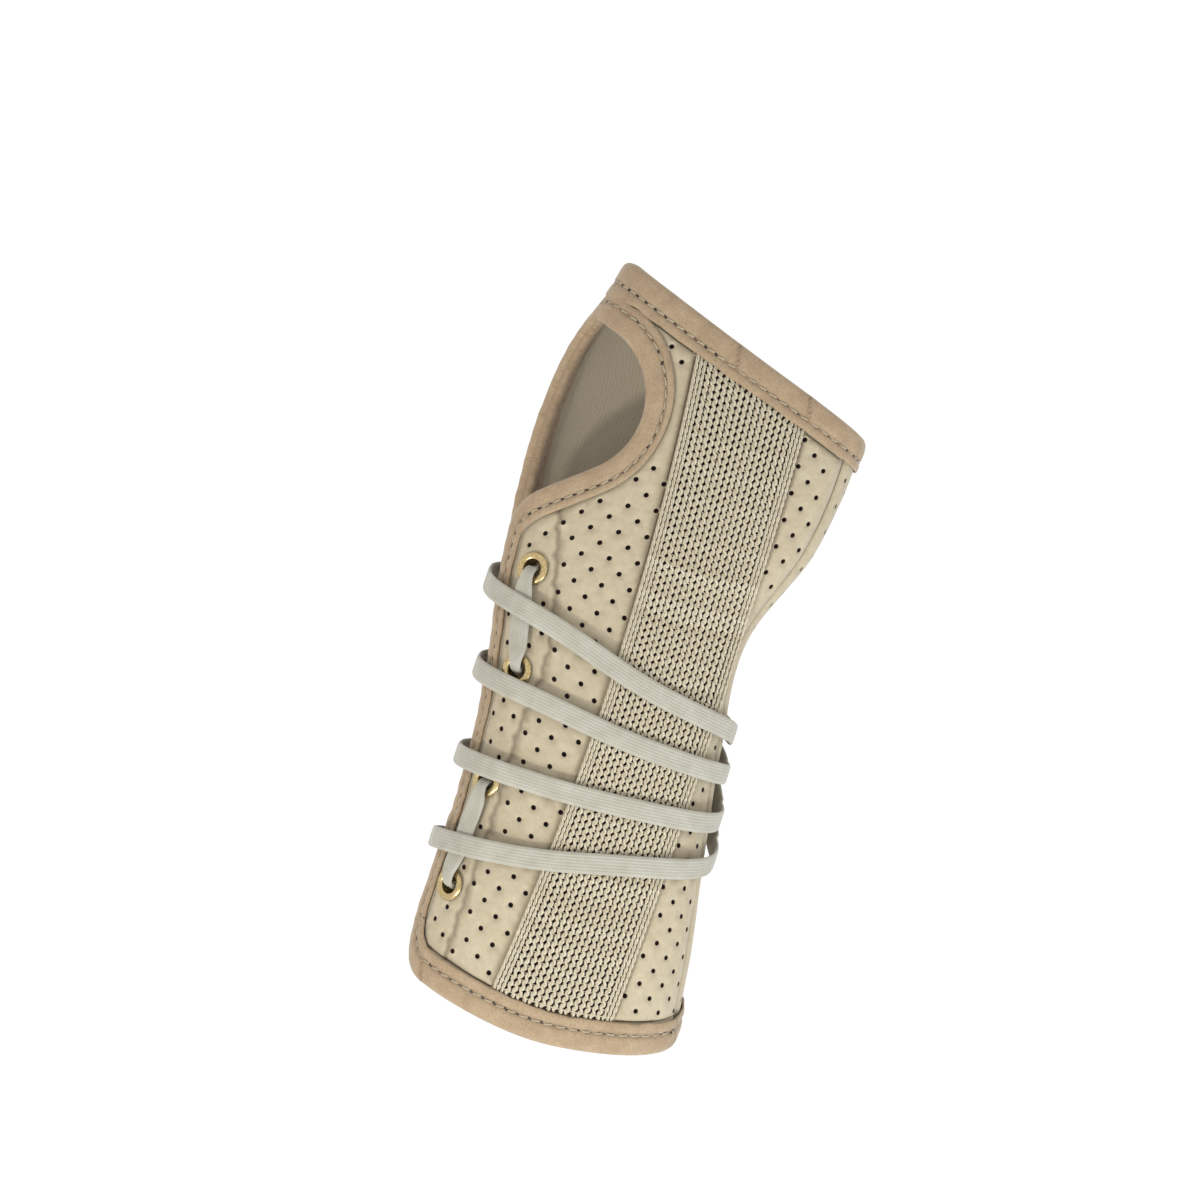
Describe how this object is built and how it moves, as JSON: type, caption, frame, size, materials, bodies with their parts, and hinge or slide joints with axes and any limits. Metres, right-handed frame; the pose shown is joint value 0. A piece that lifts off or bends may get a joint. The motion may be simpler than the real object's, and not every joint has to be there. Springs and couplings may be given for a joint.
{
  "type": "wrist splint",
  "caption": "Lace-up wrist and hand splint with a thumb hole, a webbing strip and stay along the palm, and flat elastic laces through a radial opening.",
  "frame": {"origin": "middle of the arm passage at the wrist", "axes": "+Z from the forearm to the fingers, -Y palm side, -X thumb side"},
  "size_m": [0.0903, 0.0599, 0.2113],
  "materials": {
    "suede": "suede-finish synthetic, perforated",
    "lining": "brushed knit",
    "edge_tape": "folded suede-finish tape",
    "webbing": "open-knit webbing",
    "brass": "polished, rolled",
    "elastic": "ribbed flat elastic",
    "aluminium": "satin",
    "plastic": "moulded",
    "loop": "loop pile",
    "hook": "hook tape"
  },
  "bodies": {
    "splint": {"palmar_panel": "suede", "web_strap": "suede", "dorsal_panel": "suede", "palmar_lining": "lining", "web_strap_lining": "lining", "dorsal_lining": "lining", "stay_pocket": "lining", "ulnar_seam_tape": "edge_tape", "hand_binding": "edge_tape", "thumb_binding": "edge_tape", "palmar_flap_binding": "edge_tape", "palmar_arm_binding": "edge_tape", "dorsal_arm_binding": "edge_tape", "palmar_boning_channel": "edge_tape", "webbing_strip": "webbing", "palmar_eyelets": "brass", "palmar_washers": "brass", "upper_lace": "elastic", "lower_lace": "elastic", "palmar_boning": "plastic", "loop_patch": "loop"},
    "stay": {"palm_stay": "aluminium", "stay_tips": "plastic"},
    "flap": {"dorsal_flap": "suede", "flap_lining": "lining", "flap_binding": "edge_tape", "dorsal_boning_channel": "edge_tape", "dorsal_boning": "plastic", "dorsal_eyelets": "brass", "dorsal_washers": "brass"},
    "tab": {"pull_tab": "suede", "hook_patch": "hook"}
  },
  "joints": [
    {"name": "stay_slide", "type": "hinge", "parent": "splint", "child": "stay", "pos_m": [-0.002, 0.5767, -0.02], "axis": [1, 0, 0], "range_deg": [0, 16.5]},
    {"name": "flap_open", "type": "hinge", "parent": "splint", "child": "flap", "pos_m": [0.008, 0.0356, -0.08], "axis": [0.3111, 0.1037, -0.9447], "range_deg": [0, 32], "stiffness_Nm_per_rad": 0.02, "deforming": ["upper_lace", "lower_lace"]},
    {"name": "tab_peel", "type": "hinge", "parent": "splint", "child": "tab", "pos_m": [0.0255, 0.0165, -0.005], "axis": [0, 0, -1], "range_deg": [0, 70], "deforming": ["upper_lace", "lower_lace"]}
  ]
}
